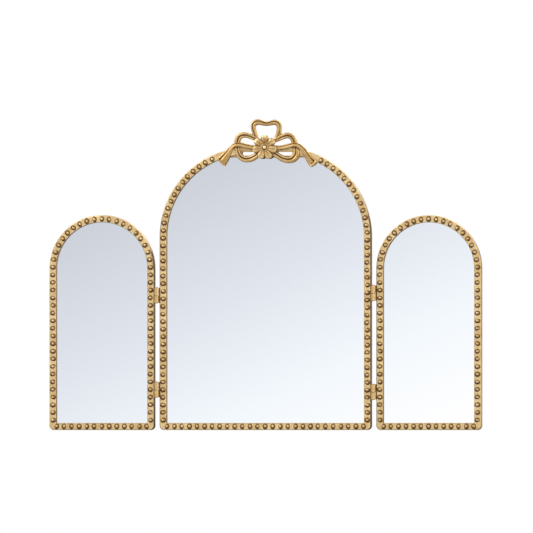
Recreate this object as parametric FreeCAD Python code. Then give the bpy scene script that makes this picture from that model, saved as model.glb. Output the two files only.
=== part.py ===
import FreeCAD, Part
import math
import os
from collections import namedtuple

Vector = FreeCAD.Vector

# A three-panel folding mirror that stands on a dressing table. Millimetres.
# +X to the viewer's right, +Z up, and the mirrors face -Y. The origin is the middle of the
# centre frame's underside.

# Panels
CENTRE_WIDTH = 376.0
CENTRE_HEIGHT = 502.0
WING_HEIGHT = 378.0
PANEL_GAP = 9.6             # between neighbouring frames when the mirror is open flat
CLOSED_GAP = 3.0            # between the two wings when both are folded shut
SHOULDER_INSET = 30.5       # centre arch: the shoulder arcs' centres, either side of the middle
CROWN_EXTRA = 100.0         # centre arch: the crown arc's radius less the shoulder arcs'
CROWN_DEPTH = 22.4          # centre arch: from its top down to the flat top of the mirror's opening
CROWN_LIP = 1.8             # how far the flat top of the rebate lies above that of the opening
CROWN_SETBACK = 1.5         # from the moulding's face back to the web above the opening
CORNER_RADIUS = 8.0

# Frame moulding
MOULDING_WIDTH = 12.4
FRAME_DEPTH = 16.0
LIP_DEPTH = 6.0             # from the moulding's face back to the glass
REBATE_WIDTH = 5.0
OUTER_ROUNDING = 1.4
INNER_ROUNDING = 0.9
BEAD_EDGE = 0.35            # the flat left on each side of the beads
BEAD_HEIGHT = 3.0
BEAD_FOOT = 0.5             # how far a bead's ball is carried on into the moulding
BEAD_PITCH = 13.35
BEAD_BOTTOM_END = 6.5       # from the corner of the beads' line to the bottom row's first bead
BEAD_SIDE_END = 11.0        # the same, to the side row's first bead

# Glass and back board
GLASS_THICKNESS = 4.0
GLASS_CLEARANCE = 1.0
BOARD_CLEARANCE = 0.5

# Board clips
CLIP_WIDTH = 9.0
CLIP_LENGTH = 15.0
CLIP_THICKNESS = 1.0
CLIP_EDGE = 1.0             # from a clip's end to the frame's outer side
CLIP_SPACING = 118.0        # the most that two clips are apart
CLIP_SCREW_RADIUS = 1.1
CLIP_SCREW_CLEARANCE = 1.4  # from a clip's screw to the hinge screws in front of it
CLIP_HEAD_RADIUS = 2.3
CLIP_HEAD_HEIGHT = 1.5

# Hinges
HINGE_HEIGHTS = {"left": {"lower": 71.0, "upper": 237.0}, "right": {"lower": 67.0, "upper": 241.0}}
HINGE_LENGTH = 27.0
BARREL_RADIUS = 3.6
LOWER_KNUCKLE = 12.6
KNUCKLE_SEAM = 0.3
LEAF_THICKNESS = 1.0
LEAF_DEPTH = 13.0           # how far the leaf reaches back along the frame's side
LEAF_CORNER = 1.5
LEAF_CLEARANCE = 0.35       # between a leaf and the other leaf's knuckle
CLOSING_CLEARANCE = 0.75    # from the bead tops to the hinge axis
PIN_RADIUS = 1.5
PIN_CLEARANCE = 0.05
PIN_HEAD_RADIUS = 2.4
PIN_HEAD_HEIGHT = 0.8
PIN_HEAD_CLEARANCE = 0.2
LEAF_SCREW_PITCH = 16.0
LEAF_SCREW_BACK = 6.5       # the screws' line, back from the moulding's face
LEAF_SCREW_RADIUS = 1.1
LEAF_SCREW_LENGTH = 6.0
LEAF_SCREW_HEAD_RADIUS = 2.1
LEAF_SCREW_HEAD_HEIGHT = 0.9

# Crest: a ribbon bow with a flower over its knot
CREST_DROP = 4.5            # from the top of the centre frame down to the flower's middle
LOOP_THICKNESS = 4.5
TAIL_THICKNESS = 6.0
GROOVE_DEPTH = 0.8
GROOVE_SHARE = 0.28         # the groove's part of a ribbon's width
KNOT_RADIUS = 13.0
ROSETTE_PETALS = 7
PETAL_RADIUS = 6.4
PETAL_CENTRE = 15.3         # from the flower's middle to a petal's middle
ROSETTE_DISC_RADIUS = 13.0
ROSETTE_THICKNESS = 3.0
BOSS_RADIUS = 4.2
BOSS_HEIGHT = 2.4
ROSETTE_PIN_RADIUS = 1.5
ROSETTE_PIN_DEPTH = 4.5     # into the moulding
CREST_SCREW_LEFT = 49.5
CREST_SCREW_RIGHT = 54.5
CREST_SCREW_RADIUS = 1.5
CREST_SCREW_BITE = 3.0      # into the bow
CREST_SCREW_HEAD_RADIUS = 2.8
CREST_SCREW_HEAD_HEIGHT = 1.8
PLAIN_LEFT = 97.0           # length of the beads' line left plain each side of the crown's middle
PLAIN_RIGHT = 102.0
SLOT_WIDTH = 0.7

# Windows through the crown, behind the holes of the bow's lower loops: left and right ends
WINDOW_ENDS = [(-42.0, -18.0), (21.0, 49.0)]
WINDOW_FLOOR = 1.6          # the wall left between a window and the rebate
WINDOW_HEIGHT = 6.2
WINDOW_CORNER = 2.0

# Worked out from the sizes above
FACE_Y = -FRAME_DEPTH / 2                       # the moulding's flat face
BACK_Y = FRAME_DEPTH / 2
GLASS_Y = FACE_Y + LIP_DEPTH
BOARD_Y = GLASS_Y + GLASS_THICKNESS
BOARD_THICKNESS = BACK_Y - BOARD_Y
LAND_WIDTH = MOULDING_WIDTH - REBATE_WIDTH      # the solid rim behind the rebate
BEAD_LINE = (OUTER_ROUNDING + MOULDING_WIDTH - INNER_ROUNDING) / 2
BEAD_RADIUS = BEAD_LINE - OUTER_ROUNDING - BEAD_EDGE
AXIS_Y = FACE_Y - BEAD_HEIGHT - CLOSING_CLEARANCE
AXIS_X = (CENTRE_WIDTH + PANEL_GAP) / 2
WING_WIDTH = (CENTRE_WIDTH - CLOSED_GAP) / 2
WING_X = CENTRE_WIDTH / 2 + PANEL_GAP + WING_WIDTH / 2
CLIP_SCREW_REACH = BACK_Y - FACE_Y - LEAF_SCREW_BACK - LEAF_SCREW_RADIUS - CLIP_SCREW_CLEARANCE
CLIP_SCREW_LENGTH = CLIP_SCREW_REACH + CLIP_THICKNESS
CREST_Z = CENTRE_HEIGHT - CREST_DROP
WINDOW_Z = CENTRE_HEIGHT - CROWN_DEPTH + CROWN_LIP + WINDOW_FLOOR

# Centrelines of the bow's ribbons, from the knot outwards: across, up and the ribbon's width.
HEART_LOOP = [
    (-9, 8, 7), (-13.6, 14.4, 7.4), (-17.6, 23.2, 8.3), (-20.8, 34.2, 9.1), (-19.3, 41.5, 10.4),
    (-11.4, 44.6, 11.2), (2.7, 41.5, 8), (16.8, 44.1, 10.3), (24.2, 40.5, 10.4), (25.1, 32, 9.6),
    (23.4, 23.2, 9.3), (19, 14.4, 8.1), (11, 8, 7),
]
LEFT_LOOPS = [
    (-12.2, 11.4, 7.4), (-19.6, 16.6, 8.9), (-27, 19.9, 9.7), (-35.9, 21.9, 10), (-44.8, 19.5, 11),
    (-48.9, 12.6, 11.2), (-50, 4.1, 9.7), (-49.5, -4.7, 9.1), (-46.3, -13.5, 10),
    (-39.6, -19.4, 11.2), (-31.4, -20.8, 11.5), (-22.5, -18.2, 11), (-13.6, -12.8, 8.9),
]
RIGHT_LOOPS = [
    (13, 11.4, 7.4), (20.5, 13.6, 8.3), (29.4, 18, 10), (39, 21, 10.6), (47.2, 18.8, 11),
    (51.3, 12.2, 10.6), (53.8, 4.1, 9.7), (54.9, -4.7, 11.6), (54.3, -13.5, 13), (48.6, -20.1, 12.8),
    (40.5, -21.9, 12.2), (30.8, -19.4, 11.5), (21.9, -14.2, 10.3), (13.8, -9.1, 8.3),
]
LEFT_TAIL = [
    (-12.2, 0, 7.1), (-22.5, 0.3, 8), (-32.9, 2.1, 8.6), (-43.3, 4.4, 9.1), (-52.2, 4.4, 8.3),
    (-58.9, 0.4, 7.7), (-64.8, -7.6, 10.9), (-72.2, -17.9, 15.3), (-78.9, -26, 18.6),
]
RIGHT_TAIL = [
    (12.3, -0.3, 7.1), (21.9, -1, 7.7), (32.3, 0.1, 8.6), (42.7, 2.6, 8.8), (52.4, 4.7, 8.3),
    (60.5, 2.6, 8.8), (68.7, -4.7, 9.7), (74.6, -14.2, 10.8), (80.1, -22.3, 13.6),
    (86.5, -28.9, 17.1),
]

Arch = namedtuple("Arch", "half_width height shoulder_inset crown_extra opening_top")
CENTRE_ARCH = Arch(
    CENTRE_WIDTH / 2, CENTRE_HEIGHT, SHOULDER_INSET, CROWN_EXTRA, CENTRE_HEIGHT - CROWN_DEPTH
)
WING_ARCH = Arch(WING_WIDTH / 2, WING_HEIGHT, 0.0, 0.0, WING_HEIGHT)

Panel = namedtuple("Panel", "name arch x")
PANELS = [
    Panel("centre", CENTRE_ARCH, 0.0),
    Panel("left_wing", WING_ARCH, -WING_X),
    Panel("right_wing", WING_ARCH, WING_X),
]
SIDES = {"left": -1, "right": 1}


def arch_sizes(arch):
    """Shoulder radius, crown radius, crown half-angle, spring height and crown centre height."""
    shoulder = arch.half_width - arch.shoulder_inset
    crown = shoulder + arch.crown_extra
    drop = math.sqrt(arch.crown_extra**2 - arch.shoulder_inset**2)
    half_angle = math.atan2(arch.shoulder_inset, drop)
    return shoulder, crown, half_angle, arch.height - crown + drop, arch.height - crown


def arch_face(arch, inset, corner=0.0, ceiling=math.inf):
    """The arch's face in the XZ plane, moved inwards by inset and cut flat at a ceiling."""
    shoulder, _, half_angle, spring, _ = arch_sizes(arch)
    w = arch.half_width - inset
    joint = crown_point(arch, inset, half_angle)
    middle = (math.pi / 2 - half_angle) / 2
    bend = Vector(
        arch.shoulder_inset + (shoulder - inset) * math.cos(middle),
        0,
        spring + (shoulder - inset) * math.sin(middle),
    )
    edges = [
        Part.Arc(Vector(w, 0, spring), bend, joint).toShape(),
        Part.Arc(mirrored(joint), mirrored(bend), Vector(-w, 0, spring)).toShape(),
        Part.makeLine(Vector(-w, 0, spring), Vector(-w, 0, inset + corner)),
        Part.makeLine(Vector(-w + corner, 0, inset), Vector(w - corner, 0, inset)),
        Part.makeLine(Vector(w, 0, inset + corner), Vector(w, 0, spring)),
    ]
    if half_angle > 0:
        top = Vector(0, 0, arch.height - inset)
        edges.append(Part.Arc(joint, top, mirrored(joint)).toShape())
    if corner > 0:
        edges += [corner_arc(w, inset, corner, side) for side in (-1, 1)]
    face = Part.Face(Part.Wire(Part.__sortEdges__(edges)))
    if ceiling < arch.height - inset:
        face = face.cut(Part.makeBox(3 * w, 2, arch.height, Vector(-1.5 * w, -1, ceiling))).Faces[0]
    return face


def inner_face(arch, clearance):
    """The face of what fills the rebate, with a clearance all round."""
    ceiling = arch.opening_top + CROWN_LIP - clearance
    return arch_face(arch, LAND_WIDTH + clearance, ceiling=ceiling)


def crown_point(arch, inset, angle):
    """A point of the crown arc, angle from its top, on the right half."""
    _, crown, _, _, crown_z = arch_sizes(arch)
    r = crown - inset
    return Vector(r * math.sin(angle), 0, crown_z + r * math.cos(angle))


def mirrored(point):
    return Vector(-point.x, point.y, point.z)


def corner_arc(w, inset, corner, side):
    """The rounded bottom corner on one side."""
    cx = side * (w - corner)
    cz = inset + corner
    slant = corner * math.sqrt(0.5)
    return Part.Arc(
        Vector(cx, 0, inset), Vector(cx + side * slant, 0, cz - slant), Vector(side * w, 0, cz)
    ).toShape()


def slab(face, y, thickness):
    """A face in the XZ plane made a plate from y backwards."""
    plate = face.extrude(Vector(0, thickness, 0))
    plate.translate(Vector(0, y, 0))
    return plate


def turned(profile, position, direction):
    """A turned solid: profile is (radius, height) pairs up the axis, from the axis and back to it."""
    points = [Vector(r, 0, h) for r, h in profile]
    face = Part.Face(Part.makePolygon(points + points[:1]))
    solid = face.revolve(Vector(0, 0, 0), Vector(0, 0, 1), 360)
    return placed(solid, position, direction)


def placed(shape, position, direction):
    """A shape made about the origin and +Z, turned to a direction and moved to a position."""
    shape.Placement = FreeCAD.Placement(
        position, FreeCAD.Rotation(Vector(0, 0, 1), direction)
    )
    return shape


def slotted(screw, position, direction, head_radius, depth):
    """The screw with a driver slot across its head, whose top is at position."""
    slot = Part.makeBox(3 * head_radius, SLOT_WIDTH, depth * 2)
    slot.translate(Vector(-1.5 * head_radius, -SLOT_WIDTH / 2, -depth))
    return screw.cut(placed(slot, position, direction))


def pan_screw(seat, direction, radius, length, head_radius, head_height):
    """A pan-head screw whose head sits on seat and whose shank runs against direction."""
    profile = [
        (0, -length), (radius * 0.5, -length), (radius, -length + radius), (radius, 0),
        (head_radius, 0), (head_radius, head_height * 0.5), (head_radius * 0.6, head_height),
        (0, head_height),
    ]
    screw = turned(profile, seat, direction)
    return slotted(screw, seat + direction * head_height, direction, head_radius, head_height * 0.5)


def flush_screw(top, direction, radius, length, head_radius, head_height):
    """A countersunk screw whose flat head ends at top and whose shank runs against direction."""
    profile = [
        (0, -length), (radius * 0.5, -length), (radius, -length + radius), (radius, -head_height),
        (head_radius, 0), (0, 0),
    ]
    screw = turned(profile, top, direction)
    return slotted(screw, top, direction, head_radius, head_height * 0.4)


def bead(x, z):
    """One dome of the beading, standing on the moulding's face."""
    r = (BEAD_RADIUS**2 + BEAD_HEIGHT**2) / (2 * BEAD_HEIGHT)
    front = Part.makeBox(2 * r, BEAD_HEIGHT + BEAD_FOOT, 2 * r, Vector(-r, -r, -r))
    dome = Part.makeSphere(r).common(front)
    dome.translate(Vector(x, FACE_Y - BEAD_HEIGHT + r, z))
    return dome


def half_path(arch):
    """Lengths of the beads' line up one half: straight side, shoulder arc and crown arc."""
    shoulder, crown, half_angle, spring, _ = arch_sizes(arch)
    return (
        spring - BEAD_LINE,
        (shoulder - BEAD_LINE) * (math.pi / 2 - half_angle),
        (crown - BEAD_LINE) * half_angle,
    )


def half_path_point(arch, distance):
    """The point of the right half's bead line at a distance up from the bottom corner."""
    shoulder, crown, half_angle, spring, _ = arch_sizes(arch)
    side, bend, _ = half_path(arch)
    if distance <= side:
        return arch.half_width - BEAD_LINE, BEAD_LINE + distance
    if distance <= side + bend:
        r = shoulder - BEAD_LINE
        angle = (distance - side) / r
        return arch.shoulder_inset + r * math.cos(angle), spring + r * math.sin(angle)
    r = crown - BEAD_LINE
    point = crown_point(arch, BEAD_LINE, half_angle - (distance - side - bend) / r)
    return point.x, point.z


def evenly(start, end, pitch):
    """Places from start to end, as near to pitch apart as divides the length evenly."""
    steps = max(1, round((end - start) / pitch))
    return [start + (end - start) * i / steps for i in range(steps + 1)]


def bead_places(panel):
    """Where the beads stand on a panel's moulding, about the panel's own middle."""
    arch = panel.arch
    reach = arch.half_width - BEAD_LINE - BEAD_BOTTOM_END
    places = [(x, BEAD_LINE) for x in evenly(-reach, reach, BEAD_PITCH)]
    total = sum(half_path(arch))
    if arch.shoulder_inset == 0:
        rows = evenly(BEAD_SIDE_END, 2 * total - BEAD_SIDE_END, BEAD_PITCH)
        for distance in rows:
            x, z = half_path_point(arch, min(distance, 2 * total - distance))
            places.append((x if distance <= total else -x, z))
        return places
    for side, plain in ((-1, PLAIN_LEFT), (1, PLAIN_RIGHT)):
        for distance in evenly(BEAD_SIDE_END, total - plain, BEAD_PITCH):
            x, z = half_path_point(arch, distance)
            places.append((side * x, z))
    return places


def moulding(arch):
    """A frame's plain ring: rounded at the front, with the rebate cut from behind."""
    ring = arch_face(arch, 0, CORNER_RADIUS).cut(arch_face(arch, MOULDING_WIDTH)).Faces[0]
    solid = slab(ring, FACE_Y, FRAME_DEPTH)
    solid = solid.makeFillet(OUTER_ROUNDING, face_wire(solid, outer=True).Edges)
    solid = solid.makeFillet(INNER_ROUNDING, face_wire(solid, outer=False).Edges)
    if arch.opening_top < arch.height - MOULDING_WIDTH:
        solid = solid.fuse(crown_web(arch))
    return solid.cut(slab(inner_face(arch, 0), GLASS_Y, FRAME_DEPTH))


def crown_web(arch):
    """The plain web that fills the arch above the opening's flat top."""
    below = arch_face(arch, LAND_WIDTH, ceiling=arch.opening_top)
    face = arch_face(arch, LAND_WIDTH).cut(below).Faces[0]
    return slab(face, FACE_Y + CROWN_SETBACK, FRAME_DEPTH - CROWN_SETBACK)


def face_wire(solid, outer):
    """The outer or the inner edge of the flat front face."""
    fronts = [f for f in solid.Faces if f.BoundBox.YMax < FACE_Y + 1e-4]
    front = max(fronts, key=lambda f: f.Area)
    if outer:
        return front.OuterWire
    return [w for w in front.Wires if not w.isSame(front.OuterWire)][0]


def clip_places(arch):
    """Places on the middle of the back land, each with the direction towards the board."""
    inset = LAND_WIDTH / 2
    shoulder, _, _, spring, _ = arch_sizes(arch)
    w = arch.half_width - inset
    places = []
    for x in evenly(-w * 0.55, w * 0.55, CLIP_SPACING):
        places.append((x, inset, Vector(0, 0, 1)))
    for z in evenly(spring * 0.28, spring, CLIP_SPACING):
        for side in (-1, 1):
            places.append((side * w, z, Vector(-side, 0, 0)))
    angle = math.radians(45)
    out = Vector(math.sin(angle), 0, math.cos(angle))
    for side in (-1, 1):
        x = side * (arch.shoulder_inset + (shoulder - inset) * out.x)
        z = spring + (shoulder - inset) * out.z
        places.append((x, z, Vector(-side * out.x, 0, -out.z)))
    top = min(arch.height - LAND_WIDTH, arch.opening_top + CROWN_LIP)
    places.append((0, top + inset, Vector(0, 0, -1)))
    return places


def board_clip(x, z, inward):
    """A flat steel clip from the frame's land over the edge of the board."""
    strip = Part.makeBox(CLIP_LENGTH, CLIP_WIDTH, CLIP_THICKNESS)
    strip.translate(Vector(CLIP_EDGE - LAND_WIDTH / 2, -CLIP_WIDTH / 2, 0))
    ends = [e for e in strip.Edges if abs(e.BoundBox.ZLength - CLIP_THICKNESS) < 1e-6]
    strip = strip.makeFillet(CLIP_WIDTH / 3, ends)
    strip = strip.cut(Part.makeCylinder(CLIP_SCREW_RADIUS, CLIP_THICKNESS))
    sideways = inward.cross(Vector(0, -1, 0))
    turn = FreeCAD.Rotation(inward, sideways, Vector(0, 1, 0), "ZXY")
    strip.Placement = FreeCAD.Placement(Vector(x, BACK_Y, z), turn)
    return strip


def clip_screw(x, z):
    return pan_screw(
        Vector(x, BACK_Y + CLIP_THICKNESS, z), Vector(0, 1, 0), CLIP_SCREW_RADIUS,
        CLIP_SCREW_LENGTH, CLIP_HEAD_RADIUS, CLIP_HEAD_HEIGHT,
    )


def leaf_screw_places(side, level):
    """Heights and depths of the screws in one hinge's leaves."""
    middle = HINGE_HEIGHTS[side][level]
    return [
        (FACE_Y + LEAF_SCREW_BACK, middle + step * LEAF_SCREW_PITCH / 2) for step in (-1, 1)
    ]


def leaf_screw(side, towards, y, z):
    """A screw through a leaf into the frame that lies towards -1 (left) or 1 (right) of the axis."""
    x = SIDES[side] * AXIS_X + towards * (PANEL_GAP / 2 - LEAF_THICKNESS)
    return flush_screw(
        Vector(x, y, z), Vector(-towards, 0, 0), LEAF_SCREW_RADIUS, LEAF_SCREW_LENGTH,
        LEAF_SCREW_HEAD_RADIUS, LEAF_SCREW_HEAD_HEIGHT,
    )


def hinge_leaf(side, level, towards, knuckle_low, knuckle_high, bore):
    """A leaf on the frame to one side of the axis, with its knuckle between two heights."""
    axis = Vector(SIDES[side] * AXIS_X, AXIS_Y, HINGE_HEIGHTS[side][level] - HINGE_LENGTH / 2)
    outer = PANEL_GAP / 2
    inner = outer - LEAF_THICKNESS
    front = math.sqrt(max(0.0, (BARREL_RADIUS + LEAF_CLEARANCE) ** 2 - inner**2))
    back = FACE_Y + LEAF_DEPTH - AXIS_Y
    plate = Part.makeBox(LEAF_THICKNESS, back - front, HINGE_LENGTH, Vector(inner, front, 0))
    corners = [
        e for e in plate.Edges
        if e.BoundBox.YMin > back - 1e-6 and abs(e.BoundBox.XLength - LEAF_THICKNESS) < 1e-6
    ]
    plate = plate.makeFillet(LEAF_CORNER, corners)
    length = knuckle_high - knuckle_low
    barrel = Part.makeCylinder(BARREL_RADIUS, length, Vector(0, 0, knuckle_low))
    neck = Part.makeBox(outer, BARREL_RADIUS + 1, length, Vector(0, 0, knuckle_low))
    leaf = plate.fuse([barrel, neck]).removeSplitter()
    leaf = leaf.cut(Part.makeCylinder(bore, length * 2, Vector(0, 0, knuckle_low - length / 2)))
    if towards < 0:
        leaf = leaf.mirror(Vector(0, 0, 0), Vector(1, 0, 0))
    leaf.translate(axis)
    for y, z in leaf_screw_places(side, level):
        leaf = leaf.cut(screw_envelope(side, towards, y, z))
    return leaf


def screw_envelope(side, towards, y, z):
    """What a leaf screw takes out of its leaf and frame."""
    x = SIDES[side] * AXIS_X + towards * (PANEL_GAP / 2 - LEAF_THICKNESS)
    profile = [
        (0, -LEAF_SCREW_LENGTH), (LEAF_SCREW_RADIUS, -LEAF_SCREW_LENGTH),
        (LEAF_SCREW_RADIUS, -LEAF_SCREW_HEAD_HEIGHT), (LEAF_SCREW_HEAD_RADIUS, 0), (0, 0),
    ]
    return turned(profile, Vector(x, y, z), Vector(-towards, 0, 0))


def hinge_pin(side, level):
    """The pin, held in the lower knuckle and riveted over at both ends."""
    z = HINGE_HEIGHTS[side][level] - HINGE_LENGTH / 2
    top = HINGE_LENGTH + PIN_HEAD_CLEARANCE
    profile = [
        (0, -PIN_HEAD_HEIGHT), (PIN_HEAD_RADIUS * 0.7, -PIN_HEAD_HEIGHT), (PIN_HEAD_RADIUS, 0),
        (PIN_RADIUS, 0), (PIN_RADIUS, top), (PIN_HEAD_RADIUS, top),
        (PIN_HEAD_RADIUS * 0.7, top + PIN_HEAD_HEIGHT), (0, top + PIN_HEAD_HEIGHT),
    ]
    return turned(profile, Vector(SIDES[side] * AXIS_X, AXIS_Y, z), Vector(0, 0, 1))


def strip(centreline, share, y, thickness):
    """A strip along a smooth centreline, share of each stated width wide, from y backwards."""
    points = [Vector(u, 0, CREST_Z + v) for u, v, _ in centreline]
    curve = Part.BSplineCurve()
    curve.interpolate(points)
    rims = []
    for hand in (-1, 1):
        rim = []
        for point, (_, _, width) in zip(points, centreline):
            along = curve.tangent(curve.parameter(point))[0]
            rim.append(point + along.cross(Vector(0, 1, 0)) * (hand * share * width / 2))
        rims.append(rim)
    edges = [Part.makeLine(rims[0][i], rims[1][i]) for i in (0, -1)]
    for rim in rims:
        side = Part.BSplineCurve()
        side.interpolate(rim)
        edges.append(side.toShape())
    return slab(Part.Face(Part.Wire(Part.__sortEdges__(edges))), y, thickness)


def ribbon(centreline, thickness):
    """One length of the bow's ribbon, with a shallow groove along its middle."""
    front = FACE_Y - thickness
    return strip(centreline, 1, front, thickness).cut(
        strip(centreline, GROOVE_SHARE, front, GROOVE_DEPTH)
    )


def crest_screw_places():
    """Where the crest's back screws pass through the frame's land."""
    _, crown, _, _, crown_z = arch_sizes(CENTRE_ARCH)
    r = crown - LAND_WIDTH / 2
    return [(x, crown_z + math.sqrt(r**2 - x**2)) for x in (-CREST_SCREW_LEFT, CREST_SCREW_RIGHT)]


def crest_screw(x, z):
    return pan_screw(
        Vector(x, BACK_Y, z), Vector(0, 1, 0), CREST_SCREW_RADIUS,
        FRAME_DEPTH + CREST_SCREW_BITE, CREST_SCREW_HEAD_RADIUS, CREST_SCREW_HEAD_HEIGHT,
    )


def bore_along_y(x, z, radius, y, depth):
    """A round hole's tool, from y backwards."""
    return Part.makeCylinder(radius, depth, Vector(x, y, z), Vector(0, 1, 0))


def bow():
    """The ribbon bow: heart-shaped loop, two loops each side, two tails and the knot."""
    strips = [ribbon(line, LOOP_THICKNESS) for line in (HEART_LOOP, LEFT_LOOPS, RIGHT_LOOPS)]
    strips += [ribbon(line, TAIL_THICKNESS) for line in (LEFT_TAIL, RIGHT_TAIL)]
    knot = Part.makeCylinder(
        KNOT_RADIUS, TAIL_THICKNESS, Vector(0, FACE_Y, CREST_Z), Vector(0, -1, 0)
    )
    casting = knot.fuse(strips).removeSplitter()
    tools = [bore_along_y(0, CREST_Z, ROSETTE_PIN_RADIUS, FACE_Y - TAIL_THICKNESS, TAIL_THICKNESS)]
    for x, z in crest_screw_places():
        tools.append(
            bore_along_y(x, z, CREST_SCREW_RADIUS, FACE_Y - CREST_SCREW_BITE, CREST_SCREW_BITE)
        )
    return casting.cut(tools)


def rosette():
    """The flower: round petals about a disc, with a hole for its pin."""
    y = FACE_Y - TAIL_THICKNESS - ROSETTE_THICKNESS
    parts = []
    for i in range(ROSETTE_PETALS):
        angle = math.tau * i / ROSETTE_PETALS
        x = PETAL_CENTRE * math.sin(angle)
        z = CREST_Z + PETAL_CENTRE * math.cos(angle)
        parts.append(bore_along_y(x, z, PETAL_RADIUS, y, ROSETTE_THICKNESS))
    disc = bore_along_y(0, CREST_Z, ROSETTE_DISC_RADIUS, y, ROSETTE_THICKNESS)
    flower = disc.fuse(parts).removeSplitter()
    return flower.cut(bore_along_y(0, CREST_Z, ROSETTE_PIN_RADIUS, y, ROSETTE_THICKNESS))


def rosette_pin():
    """The pin whose round head is the flower's middle. It holds flower and bow to the frame."""
    depth = ROSETTE_THICKNESS + TAIL_THICKNESS + ROSETTE_PIN_DEPTH
    profile = [
        (0, -depth), (ROSETTE_PIN_RADIUS, -depth), (ROSETTE_PIN_RADIUS, 0), (BOSS_RADIUS, 0),
        (BOSS_RADIUS * 0.92, BOSS_HEIGHT * 0.5), (BOSS_RADIUS * 0.6, BOSS_HEIGHT * 0.88),
        (0, BOSS_HEIGHT),
    ]
    seat = Vector(0, FACE_Y - TAIL_THICKNESS - ROSETTE_THICKNESS, CREST_Z)
    return turned(profile, seat, Vector(0, -1, 0))


def frame_holes(panel):
    """The screw and pin holes in a panel's frame, as tools about the panel's own middle."""
    tools = [
        bore_along_y(x, z, CLIP_SCREW_RADIUS, BACK_Y - CLIP_SCREW_REACH, CLIP_SCREW_REACH)
        for x, z, _ in clip_places(panel.arch)
    ]
    for side, levels in HINGE_HEIGHTS.items():
        if panel.name not in ("centre", side + "_wing"):
            continue
        towards = SIDES[side] * (-1 if panel.name == "centre" else 1)
        for level in levels:
            for y, z in leaf_screw_places(side, level):
                tool = screw_envelope(side, towards, y, z)
                tool.translate(Vector(-panel.x, 0, 0))
                tools.append(tool)
    if panel.name == "centre":
        tools += [
            bore_along_y(x, z, CREST_SCREW_RADIUS, FACE_Y, FRAME_DEPTH)
            for x, z in crest_screw_places()
        ]
        tools.append(bore_along_y(0, CREST_Z, ROSETTE_PIN_RADIUS, FACE_Y, ROSETTE_PIN_DEPTH))
        tools += [crown_window(low, high) for low, high in WINDOW_ENDS]
    return tools


def crown_window(low, high):
    """A window's tool: a round-cornered slot right through the crown."""
    slot = Part.makeBox(high - low, FRAME_DEPTH, WINDOW_HEIGHT, Vector(low, FACE_Y, WINDOW_Z))
    corners = [e for e in slot.Edges if abs(e.BoundBox.YLength - FRAME_DEPTH) < 1e-6]
    return slot.makeFillet(WINDOW_CORNER, corners)


def frame(panel):
    """A panel's cast frame: moulding, beading and holes in one piece."""
    solid = moulding(panel.arch).multiFuse([bead(x, z) for x, z in bead_places(panel)])
    return solid.cut(frame_holes(panel))


def panel_pieces(panel):
    """The pieces of one panel, by node name, in place."""
    places = clip_places(panel.arch)
    pieces = {
        "frame": frame(panel),
        "mirror_glass": slab(
            inner_face(panel.arch, GLASS_CLEARANCE), GLASS_Y, GLASS_THICKNESS
        ),
        "back_board": slab(
            inner_face(panel.arch, BOARD_CLEARANCE), BOARD_Y, BOARD_THICKNESS
        ),
        "board_clips": Part.Compound([board_clip(x, z, inward) for x, z, inward in places]),
        "clip_screws": Part.Compound([clip_screw(x, z) for x, z, _ in places]),
    }
    for shape in pieces.values():
        shape.translate(Vector(panel.x, 0, 0))
    return {f"{panel.name}_{name}": shape for name, shape in pieces.items()}


def hinge_pieces(side, level):
    """One hinge: two leaves, their pin and their screws, by node name."""
    name = f"{side}_{level}_hinge"
    inwards = -SIDES[side]
    screws = {
        towards: Part.Compound(
            [leaf_screw(side, towards, y, z) for y, z in leaf_screw_places(side, level)]
        )
        for towards in (-1, 1)
    }
    return {
        f"{name}_frame_leaf": hinge_leaf(side, level, inwards, 0, LOWER_KNUCKLE, PIN_RADIUS),
        f"{name}_wing_leaf": hinge_leaf(
            side, level, -inwards, LOWER_KNUCKLE + KNUCKLE_SEAM, HINGE_LENGTH,
            PIN_RADIUS + PIN_CLEARANCE,
        ),
        f"{name}_pin": hinge_pin(side, level),
        f"{name}_frame_screws": screws[inwards],
        f"{name}_wing_screws": screws[-inwards],
    }


def crest_pieces():
    """The crest on top of the centre frame, by node name."""
    return {
        "crest_bow": bow(),
        "crest_rosette": rosette(),
        "crest_rosette_pin": rosette_pin(),
        "crest_screws": Part.Compound([crest_screw(x, z) for x, z in crest_screw_places()]),
    }


def main():
    os.makedirs("parts", exist_ok=True)
    pieces = {}
    for panel in PANELS:
        pieces.update(panel_pieces(panel))
    for side, levels in HINGE_HEIGHTS.items():
        for level in levels:
            pieces.update(hinge_pieces(side, level))
    pieces.update(crest_pieces())
    for name, shape in pieces.items():
        print(name, len(shape.Solids), round(shape.Volume, 1), shape.isValid())
        shape.exportStep(os.path.join("parts", name + ".step"))


main()
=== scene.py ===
"""The finish and the finer shapes of a folding triple mirror: gilded frames, silvered glass,
brass hinges, plain backs, and a ribbon bow with a flower over the middle panel."""

import math

import bmesh
import bpy
import numpy as np
from mathutils import Matrix, Vector


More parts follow.
